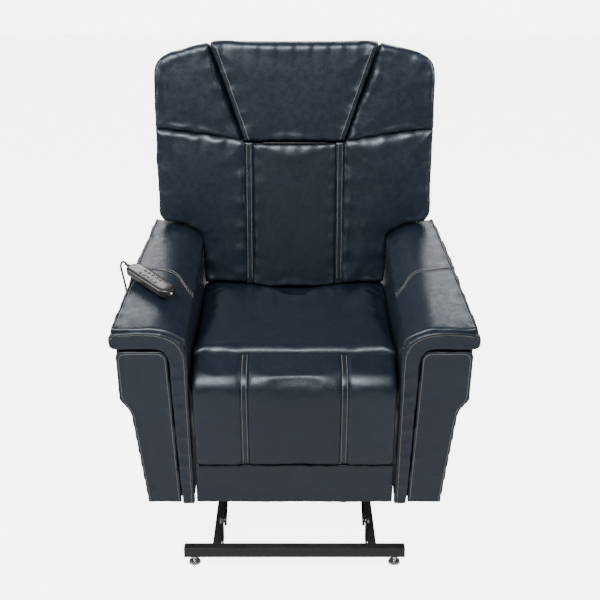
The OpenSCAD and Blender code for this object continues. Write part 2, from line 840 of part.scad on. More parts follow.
module legrest_pad() {
    half = legrest_w / 2;
    color(leather_c) chair_pose() along_x(-half, 2 * half)
        polygon([[-15, legrest_bottom_h + 24], [-2, legrest_bottom_h], [30, legrest_bottom_h],
            [75, legrest_bottom_h + 20], [75, knee_h - 3], [-6, knee_h - 3], [-15, knee_h - 20]]);
}

module legrest_swing_links() {
    color(steel_c) chair_pose() {
        both_sides() {
            link_plate(swing_pin, elbow_pin, 11, 226, plate_t);
            disc_x(elbow_pin, 4, 226 + plate_t, plate_t + 1.5);
        }
        disc_x(swing_pin, shaft_r - 4, -245, 490);
        crank(swing_pin, legrest_crank_pin, -motor_side_x);
    }
}

module legrest_guide_links() {
    color(steel_c) chair_pose() both_sides() {
        link_plate(legrest_link_pin, elbow_pin, 10, 232.6, plate_t - 1)
            disc_x(elbow_pin, 4 + open_gap, 231, plate_t + 3);
        disc_x(legrest_link_pin, 4, 225.5, 8);
    }
}

module recline_motor() {
    color(plastic_c) chair_pose() translate([motor_side_x, 0, 0])
        place_motor(recline_motor_pin, recline_motor_angle) actuator(110, 130);
}

module recline_rod() {
    color(zinc_c) chair_pose() translate([motor_side_x, 0, 0])
        place_motor(recline_motor_pin, recline_motor_angle)
            actuator_rod(recline_motor_reach, 290, 9);
}

module legrest_motor() {
    color(plastic_c) chair_pose() translate([-motor_side_x, 0, 0])
        place_motor(legrest_motor_pin, legrest_motor_angle) actuator(45, 70);
}

module legrest_rod() {
    color(zinc_c) chair_pose() translate([-motor_side_x, 0, 0])
        place_motor(legrest_motor_pin, legrest_motor_angle)
            actuator_rod(legrest_motor_reach, 150, 11);
}

base_front_tube();
base_side_rails();
base_cross_tubes();
base_brackets();
levelling_feet();
base_tube_caps();
base_pivot_bolts();
rear_lift_arms();
front_lift_links();
lift_motor();
lift_rod();
lift_frame_plates();
lift_frame_tubes();
seat_frame();
seat_springs();
seat_cushion();
arm_frames();
arm_cover_left();
arm_cover_right();
arm_pad_left();
arm_pad_right();
arm_front_bands();
arm_front_panels();
front_kick_panel();
rear_lower_panel();
back_pivot_plates();
control_box();
power_supply();
side_pocket();
handset_lower_shell();
handset_upper_shell();
handset_lamp();
cord_strain_relief();
handset_cord();
cord_grommet();
handset_button(0);  // button_01
handset_button(1);  // button_02
handset_button(2);  // button_03
handset_button(3);  // button_04
handset_button(4);  // button_05
handset_button(5);  // button_06
handset_button(6);  // button_07
handset_button(7);  // button_08
handset_button(8);  // button_09
handset_button(9);  // button_10
back_frame();
back_hinge_brackets();
back_cushion();
back_outer_panel();
headrest_cushion();
headrest_hinge();
legrest_board();
legrest_pad();
legrest_swing_links();
legrest_guide_links();
recline_motor();
recline_rod();
legrest_motor();
legrest_rod();
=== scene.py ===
import json
import math

import bmesh
import bpy
import numpy as np
from mathutils import Matrix, Vector
from mathutils.bvhtree import BVHTree


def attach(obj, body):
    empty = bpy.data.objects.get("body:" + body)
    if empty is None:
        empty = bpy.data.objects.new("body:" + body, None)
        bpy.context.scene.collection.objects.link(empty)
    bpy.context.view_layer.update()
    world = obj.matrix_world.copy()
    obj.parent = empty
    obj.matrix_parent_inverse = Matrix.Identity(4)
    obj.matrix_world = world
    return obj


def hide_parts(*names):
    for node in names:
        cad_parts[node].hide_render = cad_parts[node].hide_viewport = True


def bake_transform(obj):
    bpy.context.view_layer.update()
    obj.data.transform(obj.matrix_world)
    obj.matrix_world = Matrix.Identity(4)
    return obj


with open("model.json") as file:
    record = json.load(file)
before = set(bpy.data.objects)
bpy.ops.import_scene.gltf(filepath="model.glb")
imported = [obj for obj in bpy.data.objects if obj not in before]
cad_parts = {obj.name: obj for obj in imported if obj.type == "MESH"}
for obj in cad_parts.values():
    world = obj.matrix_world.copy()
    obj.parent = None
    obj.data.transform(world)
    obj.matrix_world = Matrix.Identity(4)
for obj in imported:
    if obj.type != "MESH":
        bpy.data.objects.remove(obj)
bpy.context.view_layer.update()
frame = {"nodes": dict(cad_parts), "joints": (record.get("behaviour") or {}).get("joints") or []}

scene = bpy.context.scene
MM = 0.001

# ---- Chair frame: x across, y back from the arm fronts, z up, in millimetres ----

LIFT_PIN = (557.243, 114.498)
BACK_HINGE = (600.0, 395.0)
JOINTS = {joint["name"]: joint for joint in frame["joints"]}
lift_pin_world = JOINTS["chair_tilt"]["pos_m"]
hinge_world = JOINTS["back_recline"]["pos_m"]
TILT = (math.atan2(hinge_world[2] - lift_pin_world[2], hinge_world[1] - lift_pin_world[1])
        - math.atan2(BACK_HINGE[1] - LIFT_PIN[1], BACK_HINGE[0] - LIFT_PIN[0]))
ORIGIN = (
    Matrix.Translation(Vector((0, lift_pin_world[1], lift_pin_world[2])))
    @ Matrix.Rotation(TILT, 4, "X")
    @ Matrix.Translation(Vector((0, -LIFT_PIN[0] * MM, -LIFT_PIN[1] * MM)))
)
TO_WORLD = np.array(ORIGIN, float)


def place(points):
    """Chair-frame points in millimetres as world points in metres."""
    points = np.asarray(points, float).reshape(-1, 3) * MM
    return points @ TO_WORLD[:3, :3].T + TO_WORLD[:3, 3]


def turn(vector):
    """A chair-frame direction as a world direction."""
    return TO_WORLD[:3, :3] @ np.asarray(vector, float)


# ---- Camera -------------------------------------------------------------------

camera_data = bpy.data.cameras.new("camera")
camera_data.lens = 64.4
camera_data.shift_x = 0.0092
camera = bpy.data.objects.new("camera", camera_data)
camera.location = (0.0, -2.863, 1.687)
camera.rotation_euler = (math.radians(90 - 19.69), 0, 0)
scene.collection.objects.link(camera)
scene.camera = camera


# ---- Mesh helpers ---------------------------------------------------------------

def make_object(name, verts, faces, smooth=True):
    mesh = bpy.data.meshes.new(name)
    mesh.from_pydata([tuple(map(float, v)) for v in verts], [], faces)
    mesh.validate()
    if smooth:
        mesh.polygons.foreach_set("use_smooth", [True] * len(mesh.polygons))
    obj = bpy.data.objects.new(name, mesh)
    scene.collection.objects.link(obj)
    return obj


def coordinates(mesh):
    flat = np.empty(len(mesh.vertices) * 3, np.float32)
    mesh.vertices.foreach_get("co", flat)
    return flat.reshape(-1, 3).astype(float)


def set_coordinates(mesh, points):
    mesh.vertices.foreach_set("co", np.asarray(points, np.float32).ravel())
    mesh.update()


def normals(mesh):
    flat = np.empty(len(mesh.vertices) * 3, np.float32)
    mesh.vertex_normals.foreach_get("vector", flat)
    return flat.reshape(-1, 3).astype(float)


def mirrored(outline):
    return [(-u, v) for u, v in reversed(outline)]


def panel(half, low, high):
    """Outline of a panel as wide on both sides."""
    return [(-half, low), (half, low), (half, high), (-half, high)]


def prism(outline, low, high):
    """Closed prism over an outline in u and v, from w = low to high."""
    count = len(outline)
    verts = [(u, v, low) for u, v in outline] + [(u, v, high) for u, v in outline]
    faces = [list(range(count))[::-1], list(range(count, 2 * count))]
    for i in range(count):
        j = (i + 1) % count
        faces.append([i, j, count + j, count + i])
    return verts, faces


def edge_distance(points, outline):
    """Distance of each (u, v) point to the outline, and how far along the outline it is."""
    ring = np.array(outline, float)
    ahead = np.roll(ring, -1, axis=0)
    best = np.full(len(points), 1e9)
    along = np.zeros(len(points))
    walked = 0.0
    for a, b in zip(ring, ahead):
        span = b - a
        length = float(np.hypot(*span))
        if length < 1e-6:
            continue
        t = np.clip(((points - a) @ span) / length ** 2, 0, 1)
        gap = np.linalg.norm(points - a - t[:, None] * span, axis=1)
        closer = gap < best
        best[closer] = gap[closer]
        along[closer] = walked + t[closer] * length
        walked += length
    return best, along


# ---- Upholstery -----------------------------------------------------------------

pads = {}


def soft_pad(name, solids, shape, voxel=7, rounds=5, crown=0, reach=60, folds=(),
             hold=0.55, pressure=4.0, loose=0.03, cap=14, rim=None):
    """A padded piece. solids are (outline, low, high) prisms in (u, v, w), and shape turns
    (u, v, w) into the chair frame. crown swells the face at low w. folds are puckers of a
    (height, pitch, depth of reach) that start at the outline."""
    verts, faces = [], []
    for outline, low, high in solids:
        more, sides = prism(outline, low, high)
        faces += [[i + len(verts) for i in face] for face in sides]
        verts += more
    block = make_object(name + "_block", np.array(verts) * MM, faces)
    remesh = block.modifiers.new("remesh", "REMESH")
    remesh.mode = "VOXEL"
    remesh.voxel_size = voxel * MM
    if rounds:
        relax = block.modifiers.new("relax", "SMOOTH")
        relax.iterations = rounds
        relax.factor = 0.5
    deps = bpy.context.evaluated_depsgraph_get()
    mesh = bpy.data.meshes.new_from_object(block.evaluated_get(deps))
    bpy.data.objects.remove(block)
    uvw = coordinates(mesh) / MM
    outline = solids[0][0]
    low = min(solid[1] for solid in solids)
    high = max(solid[2] for solid in solids)
    gap, along = edge_distance(uvw[:, :2], rim or outline)
    front = np.clip((high - uvw[:, 2]) / (high - low), 0, 1)
    swell = crown * np.sqrt(np.clip(1 - (1 - np.clip(gap / reach, 0, 1)) ** 2, 0, 1))
    for height, pitch, depth in folds:
        wave = np.sin(2 * math.pi * along / pitch + 1.7 * np.sin(along / (pitch * 2.3)))
        swell += height * wave * np.exp(-gap / depth)
    uvw[:, 2] -= swell * front
    set_coordinates(mesh, place(shape(uvw[:, 0], uvw[:, 1], uvw[:, 2])))
    mesh.polygons.foreach_set("use_smooth", [True] * len(mesh.polygons))
    mesh.name = name
    obj = bpy.data.objects.new(name, mesh)
    scene.collection.objects.link(obj)
    held = np.nonzero(front < 1 - hold)[0]
    room = 0.08 + 0.92 * np.sqrt(np.clip(1 - (1 - np.clip(gap / reach, 0, 1)) ** 2, 0, 1))
    pads[name] = {"obj": obj, "held": held, "pressure": pressure, "loose": loose,
                  "room": cap * MM * room}
    return obj


def evened(mesh, values, rounds=3):
    """Averages a per-vertex value with its neighbours'."""
    pairs = np.empty(len(mesh.edges) * 2, np.int32)
    mesh.edges.foreach_get("vertices", pairs)
    a, b = pairs.reshape(-1, 2).T
    count = np.bincount(a, minlength=len(values)) + np.bincount(b, minlength=len(values))
    for _ in range(rounds):
        total = np.zeros_like(values)
        np.add.at(total, a, values[b])
        np.add.at(total, b, values[a])
        values = 0.4 * values + 0.6 * total / np.maximum(count, 1)[:, None]
    return values


CLOTH_FRAMES = 20


def inflate_pads():
    """Runs one cloth simulation for all padded pieces together, and keeps its shape in their meshes."""
    rest = {}
    for name, pad in pads.items():
        obj = pad["obj"]
        rest[name] = coordinates(obj.data)
        group = obj.vertex_groups.new(name="held")
        group.add([int(i) for i in pad["held"]], 1.0, "REPLACE")
        cloth = obj.modifiers.new("fill", "CLOTH")
        settings = cloth.settings
        settings.quality = 4
        settings.mass = 0.35
        settings.tension_stiffness = 12
        settings.compression_stiffness = 12
        settings.shear_stiffness = 6
        settings.bending_stiffness = 0.6
        settings.use_pressure = True
        settings.uniform_pressure_force = pad["pressure"]
        settings.vertex_group_mass = "held"
        settings.shrink_min = -pad["loose"]
        settings.effector_weights.gravity = 0
        cloth.collision_settings.use_collision = False
        cloth.collision_settings.use_self_collision = False
        cloth.point_cache.frame_start = 1
        cloth.point_cache.frame_end = CLOTH_FRAMES
    for step in range(1, CLOTH_FRAMES + 1):
        scene.frame_set(step)
    deps = bpy.context.evaluated_depsgraph_get()
    grown = {n: coordinates(p["obj"].evaluated_get(deps).data) for n, p in pads.items()}
    for name, pad in pads.items():
        obj = pad["obj"]
        move = grown[name] - rest[name]
        size = np.linalg.norm(move, axis=1)
        limit = np.minimum(1, pad["room"] / np.maximum(size, 1e-9))
        obj.modifiers.clear()
        obj.vertex_groups.clear()
        move = evened(obj.data, move * limit[:, None])
        set_coordinates(obj.data, rest[name] + move)
    scene.frame_set(1)


def sampled(points, pitch):
    """Points every pitch along a polyline, with the direction at each."""
    points = np.asarray(points, float)
    spans = np.linalg.norm(np.diff(points, axis=0), axis=1)
    walked = np.concatenate([[0], np.cumsum(spans)])
    count = max(2, int(walked[-1] / pitch) + 1)
    at = np.linspace(0, walked[-1], count)
    out = np.stack([np.interp(at, walked, points[:, k]) for k in range(3)], axis=1)
    ahead = np.gradient(out, axis=0)
    ahead /= np.maximum(np.linalg.norm(ahead, axis=1)[:, None], 1e-9)
    return out, ahead


def smooth_line(points, steps=8):
    """A smooth curve through a few points."""
    points = [np.asarray(p, float) for p in points]
    out = []
    for i in range(len(points) - 1):
        a, b = points[max(i - 1, 0)], points[i]
        c, d = points[i + 1], points[min(i + 2, len(points) - 1)]
        for k in range(steps):
            t = k / steps
            out.append(0.5 * (2 * b + (c - a) * t + (2 * a - 5 * b + 4 * c - d) * t * t
                              + (3 * b - a - 3 * c + d) * t ** 3))
    out.append(points[-1])
    return np.array(out)


def groove(obj, line, depth, width):
    """Presses a seam channel into a mesh along a line of world points."""
    points, _ = sampled(line, 0.004)
    mesh = obj.data
    at, out = coordinates(mesh), normals(mesh)
    near = np.full(len(at), 1e9)
    for p in points:
        near = np.minimum(near, np.sum((at - p) ** 2, axis=1))
    press = depth * MM * np.exp(-near / (width * MM) ** 2)
    set_coordinates(mesh, at - out * press[:, None])


def tree_of(objs):
    verts, faces = [], []
    for obj in objs:
        base = len(verts)
        verts += [v.co.copy() for v in obj.data.vertices]
        faces += [[base + i for i in p.vertices] for p in obj.data.polygons]
    return BVHTree.FromPolygons(verts, faces)


def dropped(line, direction, tree, sink=0.0, back=120):
    """World points where a chair-frame line meets the surface, looking along a direction."""
    way = Vector(turn(direction)).normalized()
    out, ups = [], []
    for p in place(line):
        start = Vector(p) - way * back * MM
        hit, normal, _, _ = tree.ray_cast(start, way, 0.35)
        if hit is None:
            continue
        if normal.dot(way) > 0:
            normal = -normal
        out.append(np.array(hit - normal * sink * MM))
        ups.append(np.array(normal))
    return np.array(out), np.array(ups)


def ring_faces(rings, sides, closed=False):
    """Faces between successive rings of vertices, with a cap at each end unless closed."""
    faces = []
    for i in range(rings if closed else rings - 1):
        j = (i + 1) % rings
        for k in range(sides):
            m = (k + 1) % sides
            faces.append([i * sides + k, i * sides + m, j * sides + m, j * sides + k])
    if not closed:
        faces.append(list(range(sides))[::-1])
        faces.append([(rings - 1) * sides + k for k in range(sides)])
    return faces


def tube(points, radius, sides=8, closed=False):
    """Vertices and faces of a round tube along world points."""
    points = np.asarray(points, float)
    count = len(points)
    verts = []
    up = Vector((0.31, 0.42, 0.85)).normalized()
    for i, p in enumerate(points):
        before = points[i - 1] if i or closed else points[i]
        after = points[(i + 1) % count] if i < count - 1 or closed else points[i]
        ahead = Vector(after - before).normalized()
        across = ahead.cross(up).normalized()
        up = across.cross(ahead).normalized()
        r = radius[i] if hasattr(radius, "__len__") else radius
        for k in range(sides):
            a = 2 * math.pi * k / sides
            verts.append(np.array(Vector(p) + (across * math.cos(a) + up * math.sin(a)) * r))
    return verts, ring_faces(count, sides, closed)


class Gather:
    """Collects small meshes into one object."""

    def __init__(self):
        self.verts, self.faces = [], []

    def add(self, verts, faces):
        base = len(self.verts)
        self.verts += list(verts)
        self.faces += [[base + i for i in face] for face in faces]

    def build(self, name, material, body, slot):
        obj = make_object(name, self.verts, self.faces)
        obj.data.materials.append(material)
        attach(obj, body)
        return obj


STITCH_PITCH = 6.5
STITCH_LENGTH = 4.6
STITCH_RADIUS = 0.52


def stitches(gather, line, direction, tree, proud=0.25):
    """Thread stitches along a chair-frame line, laid on the surface below it."""
    points, _ = sampled(np.asarray(line, float), STITCH_PITCH)
    on, ups = dropped(points, direction, tree)
    for i in range(len(on) - 1):
        step = on[i + 1] - on[i]
        gap = np.linalg.norm(step)
        if gap < 1e-6 or gap > 3 * STITCH_PITCH * MM:
            continue
        ahead = step / gap
        centre = (on[i] + on[i + 1]) / 2
        up = (ups[i] + ups[i + 1]) / 2
        half = STITCH_LENGTH * MM / 2
        bow = [(-1, -0.5), (-0.6, 0.3), (0, 0.6), (0.6, 0.3), (1, -0.5)]
        path = [centre + ahead * half * t + up * (proud + h * STITCH_RADIUS) * MM for t, h in bow]
        gather.add(*tube(path, STITCH_RADIUS * MM, sides=5))


def subdivide(obj, level=1):
    sub = obj.modifiers.new("subdivision", "SUBSURF")
    sub.levels = level
    sub.render_levels = level


# ---- Materials ------------------------------------------------------------------

class Nodes:
    """Short form for building a shader."""

    def __init__(self, name):
        self.material = bpy.data.materials.new(name)
        self.material.use_nodes = True
        self.tree = self.material.node_tree
        self.shader = next(n for n in self.tree.nodes if n.type == "BSDF_PRINCIPLED")

    def node(self, kind, **inputs):
        made = self.tree.nodes.new(kind)
        for key, value in inputs.items():
            if hasattr(made, key):
                setattr(made, key, value)
        return made

    def link(self, source, target):
        self.tree.links.new(source, target)

    def chair_coordinates(self):
        """Object coordinates turned square to the chair."""
        where = self.node("ShaderNodeTexCoord")
        mapping = self.node("ShaderNodeMapping")
        mapping.inputs["Rotation"].default_value = (-TILT, 0, 0)
        self.link(where.outputs["Object"], mapping.inputs["Vector"])
        return mapping.outputs["Vector"]

    def noise(self, vector, scale, detail=3.0, rough=0.55):
        made = self.node("ShaderNodeTexNoise")
        made.inputs["Scale"].default_value = scale
        made.inputs["Detail"].default_value = detail
        made.inputs["Roughness"].default_value = rough
        self.link(vector, made.inputs["Vector"])
        return made.outputs["Fac"]

    def range(self, value, low, high, from_low=0.3, from_high=0.7):
        made = self.node("ShaderNodeMapRange")
        made.inputs["From Min"].default_value = from_low
        made.inputs["From Max"].default_value = from_high
        made.inputs["To Min"].default_value = low
        made.inputs["To Max"].default_value = high
        self.link(value, made.inputs["Value"])
        return made.outputs["Result"]

    def mix(self, factor, first, second):
        made = self.node("ShaderNodeMix")
        made.data_type = "RGBA"
        self.link(factor, made.inputs["Factor"])
        for socket, value in ((made.inputs[6], first), (made.inputs[7], second)):
            if isinstance(value, tuple):
                socket.default_value = (*value, 1)
            else:
                self.link(value, socket)
        return made.outputs[2]

    def math(self, kind, first, second=None):
        made = self.node("ShaderNodeMath")
        made.operation = kind
        for socket, value in ((made.inputs[0], first), (made.inputs[1], second)):
            if value is None:
                continue
            if isinstance(value, (int, float)):
                socket.default_value = value
            else:
                self.link(value, socket)
        return made.outputs[0]

    def bump(self, height, strength, distance, below=None):
        made = self.node("ShaderNodeBump")
        made.inputs["Strength"].default_value = strength
        made.inputs["Distance"].default_value = distance
        self.link(height, made.inputs["Height"])
        if below is not None:
            self.link(below, made.inputs["Normal"])
        return made.outputs["Normal"]


LEATHER_DEEP = (0.0024, 0.0050, 0.0112)
LEATHER_LIGHT = (0.0054, 0.0094, 0.0178)


def leather(name, perforated=False, gloss=0.40):
    n = Nodes(name)
    at = n.chair_coordinates()
    cells = n.node("ShaderNodeTexVoronoi")
    cells.inputs["Scale"].default_value = 620
    cells.inputs["Randomness"].default_value = 0.9
    n.link(at, cells.inputs["Vector"])
    pores = n.noise(at, 1400, 2)
    creases = n.noise(at, 55, 5, 0.62)
    broad = n.noise(at, 9, 3)
    tint = n.mix(n.range(broad, 0, 1), LEATHER_DEEP, LEATHER_LIGHT)
    colour = n.mix(n.range(cells.outputs["Distance"], 0.0, 0.35, 0.0, 0.5), tint, LEATHER_DEEP)
    rough = n.range(creases, gloss - 0.05, gloss + 0.09)
    normal = n.bump(creases, 0.16, 0.004)
    normal = n.bump(cells.outputs["Distance"], 0.22, 0.0005, normal)
    normal = n.bump(pores, 0.10, 0.0003, normal)
    if perforated:
        pitch, radius = 6.0, 1.05
        split = n.node("ShaderNodeSeparateXYZ")
        n.link(at, split.inputs["Vector"])
        parts = []
        along = n.math("ADD", split.outputs["Y"], split.outputs["Z"])
        for way in (split.outputs["X"], along):
            cell = n.math("FRACT", n.math("MULTIPLY", way, 1000 / pitch))
            off = n.math("SUBTRACT", cell, 0.5)
            parts.append(n.math("MULTIPLY", off, off))
        gap = n.math("SQRT", n.math("ADD", parts[0], parts[1]))
        hole = n.range(gap, 1.0, 0.0, radius / pitch * 0.8, radius / pitch * 1.3)
        colour = n.mix(hole, colour, (0.002, 0.002, 0.003))
        depth = n.math("SUBTRACT", 1.0, hole)
        normal = n.bump(depth, 0.5, 0.0008, normal)
        rough = n.math("MAXIMUM", rough, n.math("MULTIPLY", hole, 0.9))
    n.link(colour, n.shader.inputs["Base Color"])
    n.link(rough, n.shader.inputs["Roughness"])
    n.link(normal, n.shader.inputs["Normal"])
    n.shader.inputs["Coat Weight"].default_value = 0.08
    n.shader.inputs["Coat Roughness"].default_value = 0.32
    n.shader.inputs["Specular IOR Level"].default_value = 0.6
    n.shader.inputs["Specular Tint"].default_value = (0.82, 0.91, 1.0, 1)
    return n.material


def metal_or_plastic(name, deep, light, rough, metallic=0.0, grain=900, bump=0.12, scratches=0.0,
                     coat=0.0):
    n = Nodes(name)
    at = n.chair_coordinates()
    fine = n.noise(at, grain, 2)
    broad = n.noise(at, 24, 4, 0.6)
    colour = n.mix(n.range(broad, 0, 1), deep, light)
    wear = n.range(broad, rough - 0.05, rough + 0.08)
    normal = n.bump(fine, bump, 0.0004)
    if scratches:
        stretch = n.node("ShaderNodeMapping")
        stretch.inputs["Scale"].default_value = (1, 14, 1)
        n.link(at, stretch.inputs["Vector"])
        lines = n.noise(stretch.outputs["Vector"], 160, 3)
        normal = n.bump(lines, scratches, 0.0002, normal)
    n.link(colour, n.shader.inputs["Base Color"])
    n.link(wear, n.shader.inputs["Roughness"])
    n.link(normal, n.shader.inputs["Normal"])
    n.shader.inputs["Metallic"].default_value = metallic
    n.shader.inputs["Coat Weight"].default_value = coat
    return n.material


def thread(name):
    n = Nodes(name)
    at = n.chair_coordinates()
    twist = n.node("ShaderNodeTexWave")
    twist.bands_direction = "DIAGONAL"
    twist.inputs["Scale"].default_value = 620
    n.link(at, twist.inputs["Vector"])
    colour = n.mix(twist.outputs["Fac"], (0.24, 0.23, 0.21), (0.42, 0.40, 0.36))
    n.link(colour, n.shader.inputs["Base Color"])
    n.link(n.bump(twist.outputs["Fac"], 0.5, 0.0002), n.shader.inputs["Normal"])
    n.shader.inputs["Roughness"].default_value = 0.7
    return n.material


def plywood(name):
    n = Nodes(name)
    at = n.chair_coordinates()
    stretch = n.node("ShaderNodeMapping")
    stretch.inputs["Scale"].default_value = (1, 1, 0.08)
    n.link(at, stretch.inputs["Vector"])
    rings = n.noise(stretch.outputs["Vector"], 220, 4, 0.7)
    broad = n.noise(at, 14, 3)
    colour = n.mix(n.range(rings, 0, 1), (0.42, 0.27, 0.14), (0.62, 0.45, 0.27))
    colour = n.mix(n.range(broad, 0, 0.5), colour, (0.34, 0.21, 0.11))
    n.link(colour, n.shader.inputs["Base Color"])
    n.link(n.bump(rings, 0.25, 0.0006), n.shader.inputs["Normal"])
    n.shader.inputs["Roughness"].default_value = 0.72
    return n.material


hide = leather("leather_smooth")
hide_perforated = leather("leather_perforated", perforated=True)
hide_piping = leather("leather_piping", gloss=0.34)
stitch_thread = thread("stitch_thread")
black_steel = metal_or_plastic("steel_powder_coat", (0.005, 0.005, 0.005), (0.010, 0.010, 0.010),
                               0.42, grain=1500, bump=0.25, coat=0.08)
bright_zinc = metal_or_plastic("zinc_plate", (0.55, 0.54, 0.50), (0.68, 0.68, 0.66), 0.28, 1.0,
                               scratches=0.3)
foot_steel = metal_or_plastic("foot_chrome", (0.62, 0.62, 0.62), (0.72, 0.72, 0.72), 0.16, 1.0,
                              scratches=0.15)
motor_plastic = metal_or_plastic("motor_plastic", (0.018, 0.018, 0.019), (0.035, 0.035, 0.036), 0.52,
                                 grain=700, bump=0.35)
handset_plastic = metal_or_plastic("handset_plastic", (0.008, 0.006, 0.005), (0.014, 0.011, 0.009),
                                   0.36, grain=1800, bump=0.12, coat=0.3)
button_rubber = metal_or_plastic("button_rubber", (0.014, 0.013, 0.013), (0.022, 0.021, 0.021), 0.6,
                                 grain=1600, bump=0.2)
icon_print = metal_or_plastic("icon_print", (0.50, 0.48, 0.44), (0.62, 0.60, 0.56), 0.5)
cord_rubber = metal_or_plastic("cord_rubber", (0.016, 0.016, 0.017), (0.028, 0.028, 0.029), 0.42,
                               grain=1100, bump=0.15)
lamp_lens = metal_or_plastic("lamp_lens", (0.62, 0.60, 0.52), (0.75, 0.74, 0.68), 0.08, coat=1.0)
board = plywood("board_wood")


# ---- Handset cord ---------------------------------------------------------------

CORD_ROUTE = [
    (-436, 480, 420), (-450, 480, 419), (-461, 479, 411), (-466, 477, 396),
    (-465, 474, 375), (-460, 467, 330), (-455, 459, 280), (-452, 449, 230),
    (-450, 434, 185), (-449, 411, 155), (-449, 380, 142), (-449, 348, 150),
    (-449, 322, 178), (-450, 308, 220), (-451, 306, 270), (-453, 311, 330),
    (-455, 318, 390), (-458, 325, 450), (-462, 332, 510), (-468, 337, 560),
    (-473, 337, 595), (-474, 332, 615), (-470, 326, 629), (-463, 317.5, 636.5),
    (-456, 309.3, 637.5),
]
CORD_D = 0.006

cord_line = place(smooth_line(CORD_ROUTE, 8))
cord_tube = make_object("lead", *tube(cord_line, CORD_D / 2, sides=14))
cord_tube.data.materials.append(cord_rubber)
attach(cord_tube, "chair")
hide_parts("handset_cord")


# ---- Back -----------------------------------------------------------------------

BACK_FOOT_Y, BACK_FOOT_H, BACK_SLOPE = 542, 450, 0.24
BACK_HALF, BACK_TOP_H, WING_H = 403, 1124, 646
LOW_HALF = 262
HEAD_TOP, HEAD_LOW, HEAD_H = 240, 146, 854
STRIP_IN, STRIP_OUT = 122, 142


def on_back(u, v, w):
    return np.stack([u, BACK_FOOT_Y + BACK_SLOPE * (v - BACK_FOOT_H) + w, v], axis=1)


def on_front(u, v, w):
    return np.stack([u, w, v], axis=1)


def on_back_rolled(u, v, w):
    """As on_back, with the top falling away towards the rear."""
    fall = np.clip((w - 16) / 130, 0, 1.4) * np.clip((v - 880) / 230, 0, 1) ** 1.5
    return on_back(u * (1 - 0.02 * np.clip(w / 140, 0, 1)), v - 40 * fall, w)


def on_back_pad(u, v, w):
    """As on_back, with a pad's top edge rolled over towards the rear."""
    roll = np.clip((w - 14) / 46, 0, 1) ** 1.4 * np.clip((v - 1000) / 110, 0, 1)
    return on_back(u, v - 13 * roll, w)


def back_outline(inset):
    top = BACK_TOP_H - 38 - inset
    low, wide, corner = LOW_HALF - inset, BACK_HALF - inset, 60
    right = [(low, BACK_FOOT_H + inset), (low, WING_H + inset), (wide, WING_H + inset),
             (wide, top - corner), (wide - 5, top - 35), (wide - 18, top - 18),
             (wide - 36, top - 3), (wide - corner, top + 10), (HEAD_TOP + 6, BACK_TOP_H - inset)]
    return right + mirrored(right)


def back_shell_outline():
    """The back's outline with the headrest's notch cut out of its top."""
    notch = [(HEAD_TOP + 5, BACK_TOP_H - 1), (HEAD_LOW + 5, HEAD_H - 5)]
    right = back_outline(1)[:9]
    return right + notch + mirrored(right + notch)


soft_pad("back_gusset", [(back_shell_outline(), 20, 80), (back_outline(1), 72, 181)], on_back_rolled,
         voxel=8, rounds=3, crown=4, reach=14, folds=((1.6, 17, 9),), hold=1.0, rim=back_outline(1))
LUMBAR = [(-124, 440), (-60, 434), (60, 434), (124, 440), (124, 851), (-124, 851)]
lumbar = soft_pad("back_lumbar", [(LUMBAR, 11, 60)], on_back,
                  crown=20, reach=75, folds=((1.5, 46, 18),), voxel=6, cap=14)
strips = {}
bolsters, wings = {}, {}
BOLSTER = [(STRIP_OUT - 4, 444), (267, 444), (268, 585), (280, 598), (312, 614), (352, 621),
           (384, 624), (398, 648), (401, 896), (144, 862), (STRIP_OUT - 4, 852)]
WING = [(146, 855), (401, 888), (402, 1024), (399, 1048), (390, 1067), (375, 1082), (352, 1094),
        (300, 1109), (243, 1122)]
STRIP = [(STRIP_IN - 4, 440), (STRIP_OUT + 4, 440), (STRIP_OUT + 4, 851), (STRIP_IN - 4, 851)]
for side, flip in (("right", False), ("left", True)):
    pick = mirrored if flip else list
    bolsters[side] = soft_pad("back_bolster_" + side, [(pick(BOLSTER), 8, 60)], on_back_pad,
                              crown=28, reach=110, folds=((2.4, 78, 34), (1.0, 37, 18)), cap=18)
    wings[side] = soft_pad("back_wing_" + side, [(pick(WING), 8, 60)], on_back_pad,
                           crown=26, reach=105, folds=((1.6, 66, 26), (0.7, 29, 13)), cap=18)
    strips[side] = soft_pad("back_strip_" + side, [(pick(STRIP), 11, 50)], on_back,
                            voxel=5, rounds=2, hold=0.8, pressure=1.5, cap=3)

HEADREST = [(-147, 854), (147, 854), (242, 1126), (-242, 1126)]
headrest = soft_pad("headrest_pillow", [(HEADREST, 5, 59)], on_back_pad, crown=21, reach=90,
                    folds=((2.0, 52, 26), (1.0, 23, 16)), cap=14, hold=0.75)


# ---- Seat and leg rest --------------------------------------------------------------

def across_seat(u, v, w):
    """u is depth from the front, v height, w across."""
    side = np.clip((270 - np.abs(w)) / 44, 0, 1)
    drop = 10 * (1 - np.sqrt(np.clip(1 - (1 - side) ** 2, 0, 1)))
    sag = 20 * np.exp(-(w / 180) ** 2) * np.clip((u - 150) / 330, 0, 1)
    high = np.clip((v - 400) / 50, 0, 1)
    return np.stack([w, u, v - (drop + sag) * high], axis=1)


SEAT = [(112, 352), (540, 352), (576, 402), (577, 438), (520, 441), (300, 463), (150, 483), (112, 487),
        (101, 480), (98, 462)]
seat = soft_pad("seat_pad", [(SEAT, -270, 270)], across_seat, voxel=7, rounds=4, hold=1.0)
height = coordinates(seat.data) @ turn((0, 0, 1)) - place([(0, 0, 0)])[0] @ turn((0, 0, 1))
pads["seat_pad"]["held"] = np.nonzero(height < 425 * MM)[0]
pads["seat_pad"]["room"] = 7 * MM
soft_pad("seat_rear_flap", [(panel(258, 382, 449), 584, 592)], on_front, voxel=4, rounds=1, hold=1.0)

